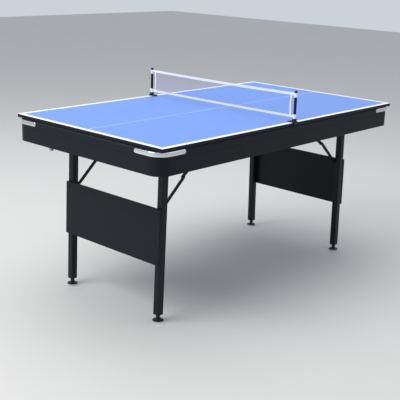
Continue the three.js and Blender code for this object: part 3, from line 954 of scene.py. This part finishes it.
def folded_tape(mesh, path, height, thickness, wall, opens):
    """A tape folded over the net's edge. The path gives its middle at each station.
    It opens downwards if opens is -1 and upwards if it is 1."""
    bend = [math.pi * k / 6 for k in range(7)]
    half = thickness / 2
    closed_end = -opens * (height / 2 - half)
    open_end = opens * height / 2
    skin = [(half, open_end)]
    skin += [(half * math.cos(a), closed_end - opens * half * math.sin(a)) for a in bend]
    skin += [(-half, open_end)]
    inner = half - wall
    lining = [(-inner, open_end)]
    lining += [(-inner * math.cos(a), closed_end - opens * inner * math.sin(a)) for a in bend]
    lining += [(inner, open_end)]
    section = skin + lining
    rings = []
    for point, direction, side in path:
        rings.append([point + side * a + direction * b for a, b in section])
    loft(mesh, rings)


class PINGPONG_OT_net(bpy.types.Operator):
    """Builds the threads of the net, its folded tapes and its loops"""

    bl_idname = "pingpong.net"
    bl_label = "Net"

    top_centre = 127 * MM
    bottom_centre = 26 * MM
    tape_height = 11 * MM

    def tape_z(self, y, top, sag):
        """Height of a tape's middle above the board."""
        droop = sag * (1 - (y / NET_END_Y) ** 2)
        return BOARD_TOP + (self.top_centre - droop if top else self.bottom_centre - 0.4 * droop)

    def execute(self, context):
        sizes = context.scene.pingpong_sizes
        net = self.threads(sizes)
        for name, top in (("top", True), ("bottom", False)):
            tape = self.long_tape(name, top, sizes.tape_sag)
        for side, sign in SIDES.items():
            tape = self.end_tape(side, sign, sizes.tape_sag)
            for name, low in LOOP_LIFTS:
                loop = self.loop(side, sign, name, low)
        return {"FINISHED"}

    def threads(self, sizes):
        """Knotted threads both ways, running with the tapes."""
        mesh = bmesh.new()
        radius = sizes.thread / 2
        count_y = int(round(2 * NET_END_Y / sizes.mesh_pitch))
        count_z = int(round((self.top_centre - self.bottom_centre) / sizes.mesh_pitch))

        def knot(column, row):
            y = -NET_END_Y + 2 * NET_END_Y * column / count_y
            low = self.tape_z(y, False, sizes.tape_sag)
            high = self.tape_z(y, True, sizes.tape_sag)
            wander = 0.25 * MM * math.sin(column * 1.7 + row * 2.3)
            return Vector((wander, y, low + (high - low) * row / count_z))

        def thread(points, side, other):
            turns = [2 * math.pi * k / 6 for k in range(6)]
            section = [(math.cos(turn) * radius, math.sin(turn) * radius) for turn in turns]
            loft(mesh, [[p + side * a + other * b for a, b in section] for p in points])

        along_x, along_y, along_z = Vector((1, 0, 0)), Vector((0, 1, 0)), Vector((0, 0, 1))
        for column in range(count_y + 1):
            thread([knot(column, row) for row in range(count_z + 1)], along_x, along_y)
        for row in range(1, count_z):
            thread([knot(column, row) for column in range(count_y + 1)], along_x, along_z)
        return new_piece("net_threads", mesh, "thread", "net_set", ["net"])

    def long_tape(self, name, top, sag):
        mesh = bmesh.new()
        steps = 56
        reach = TAPE_REACH
        path = []
        for step in range(steps + 1):
            y = -reach + 2 * reach * step / steps
            held = max(-NET_END_Y, min(NET_END_Y, y))
            ripple = 0.25 * MM * math.sin(step * 0.9) * (1 - abs(y) / reach)
            middle = Vector((ripple, y, self.tape_z(held, top, sag)))
            path.append((middle, Vector((0, 0, 1)), Vector((1, 0, 0))))
        folded_tape(mesh, path, self.tape_height, 2.6 * MM, 0.5 * MM, -1 if top else 1)
        return new_piece(f"net_tape_{name}", mesh, "tape", "net_set")

    def end_tape(self, side, sign, sag):
        mesh = bmesh.new()
        steps = 14
        low = self.tape_z(NET_END_Y, False, sag) + 4 * MM
        high = self.tape_z(NET_END_Y, True, sag) - 4 * MM
        path = []
        for step in range(steps + 1):
            t = step / steps
            bow = 4 * MM * (1 - (2 * t - 1) ** 2)
            middle = Vector((0, sign * (NET_END_Y + 2 * MM - bow), low + (high - low) * t))
            path.append((middle, Vector((0, sign, 0)), Vector((1, 0, 0))))
        folded_tape(mesh, path, END_TAPE_WIDTH, 2.2 * MM, 0.5 * MM, -1)
        return new_piece(f"net_tape_{side}", mesh, "tape", "net_set")

    def loop(self, side, sign, name, low):
        """A band of tape round the post, slightly slack."""
        mesh = bmesh.new()
        inner = POST_RADIUS + 0.35 * MM
        count, rows = 40, 6
        rings = []
        levels = [(row / rows, False) for row in range(rows + 1)]
        levels += [(1 - row / rows, True) for row in range(rows + 1)]
        for t, outside in levels:
            ring = []
            for step in range(count):
                angle = 2 * math.pi * step / count
                slack = 0.25 * MM * (1 + math.sin(2 * angle + 5 * t)) + 0.3 * MM * t * t
                radius = inner + slack + (LOOP_WALL if outside else 0)
                z = BOARD_TOP + low + LOOP_HEIGHT * t
                ring.append(Vector((radius * math.cos(angle), sign * POST_Y + radius * math.sin(angle), z)))
            rings.append(ring)
        loft(mesh, rings, closed=True)
        return new_piece(f"net_loop_{side}_{name}", mesh, "tape", "net_set")


# ---------- stage
CAMERA_PLACE = (-3.0193, -2.6234, 1.5229)
CAMERA_YAW = 0.7332
CAMERA_PITCH = 0.2860
CAMERA_ROLL = 0.0336
CAMERA_LENS = 74.987
SENSOR = 36.0


class PINGPONG_OT_stage(bpy.types.Operator):
    """Makes the camera, the pale floor and the soft light"""

    bl_idname = "pingpong.stage"
    bl_label = "Stage"

    def execute(self, context):
        scene = context.scene
        scene.view_settings.view_transform = "Standard"
        self.camera(scene)
        self.floor(scene)
        self.lights(scene)
        return {"FINISHED"}

    def camera(self, scene):
        yaw, pitch, roll = CAMERA_YAW, CAMERA_PITCH, CAMERA_ROLL
        ahead = Vector((math.cos(yaw) * math.cos(pitch), math.sin(yaw) * math.cos(pitch), -math.sin(pitch)))
        right = Vector((math.sin(yaw), -math.cos(yaw), 0))
        up = right.cross(ahead)
        level = right * math.cos(roll) + up * math.sin(roll)
        tall = up * math.cos(roll) - right * math.sin(roll)
        data = bpy.data.cameras.new("camera")
        data.lens = CAMERA_LENS
        data.sensor_width = SENSOR
        data.clip_end = 60.0
        camera = bpy.data.objects.new("camera", data)
        turn = Matrix((level, tall, -ahead)).transposed().to_4x4()
        camera.matrix_world = Matrix.Translation(CAMERA_PLACE) @ turn
        scene.collection.objects.link(camera)
        scene.camera = camera

    def floor(self, scene):
        mesh = bmesh.new()
        size = 14.0
        corners = [(-size, -size), (size, -size), (size, size), (-size, size)]
        mesh.faces.new([mesh.verts.new((x, y, 0.0)) for x, y in corners])
        data = bpy.data.meshes.new("floor")
        mesh.to_mesh(data)
        mesh.free()
        floor = bpy.data.objects.new("floor", data)
        data.materials.append(finishes["floor"])
        scene.collection.objects.link(floor)

    def lights(self, scene):
        world = bpy.data.worlds.new("soft_sky")
        world.use_nodes = True
        background = world.node_tree.nodes["Background"]
        background.inputs["Color"].default_value = (0.86, 0.92, 1.0, 1.0)
        background.inputs["Strength"].default_value = 0.70
        scene.world = world
        for name, place, size, power, colour in (
            ("key", (-3.6, 1.0, 3.4), 3.2, 135, (1.0, 0.98, 0.95)),
            ("top", (0.4, 0.6, 4.2), 4.0, 90, (1.0, 1.0, 1.0)),
            ("fill", (2.2, -4.0, 2.6), 3.0, 8, (0.95, 0.97, 1.0)),
        ):
            data = bpy.data.lights.new(name, "AREA")
            data.size = size
            data.energy = power
            data.color = colour
            light = bpy.data.objects.new(name, data)
            light.location = place
            aim = Vector((0, 0, 0.7)) - Vector(place)
            light.rotation_euler = aim.to_track_quat("-Z", "Y").to_euler()
            scene.collection.objects.link(light)


OPERATORS = (
    PINGPONG_OT_finishes, PINGPONG_OT_stage, PINGPONG_OT_board, PINGPONG_OT_cabinet,
    PINGPONG_OT_corner_caps, PINGPONG_OT_hook, PINGPONG_OT_legs, PINGPONG_OT_braces, PINGPONG_OT_feet,
    PINGPONG_OT_net_posts, PINGPONG_OT_net,
)


class PINGPONG_PT_table(bpy.types.Panel):
    """The table's settings and pieces"""

    bl_idname = "PINGPONG_PT_table"
    bl_label = "Ping Pong Table"
    bl_space_type = "VIEW_3D"
    bl_region_type = "UI"
    bl_category = "Ping Pong"

    def draw(self, context):
        layout = self.layout
        for group in (context.scene.pingpong_sizes, context.scene.pingpong_colours):
            for name in group.__annotations__:
                layout.prop(group, name)
        for operator in OPERATORS:
            layout.operator(operator.bl_idname)


CLASSES = (PingPongSizes, PingPongColours, *OPERATORS, PINGPONG_PT_table)


def register():
    for cls in CLASSES:
        bpy.utils.register_class(cls)
    bpy.types.Scene.pingpong_sizes = PointerProperty(type=PingPongSizes)
    bpy.types.Scene.pingpong_colours = PointerProperty(type=PingPongColours)


def unregister():
    del bpy.types.Scene.pingpong_colours
    del bpy.types.Scene.pingpong_sizes
    for cls in reversed(CLASSES):
        bpy.utils.unregister_class(cls)


def main():
    register()
    for operator in OPERATORS:
        group, name = operator.bl_idname.split(".")
        getattr(getattr(bpy.ops, group), name)()
    bpy.context.view_layer.update()


if __name__ == "__main__":
    main()
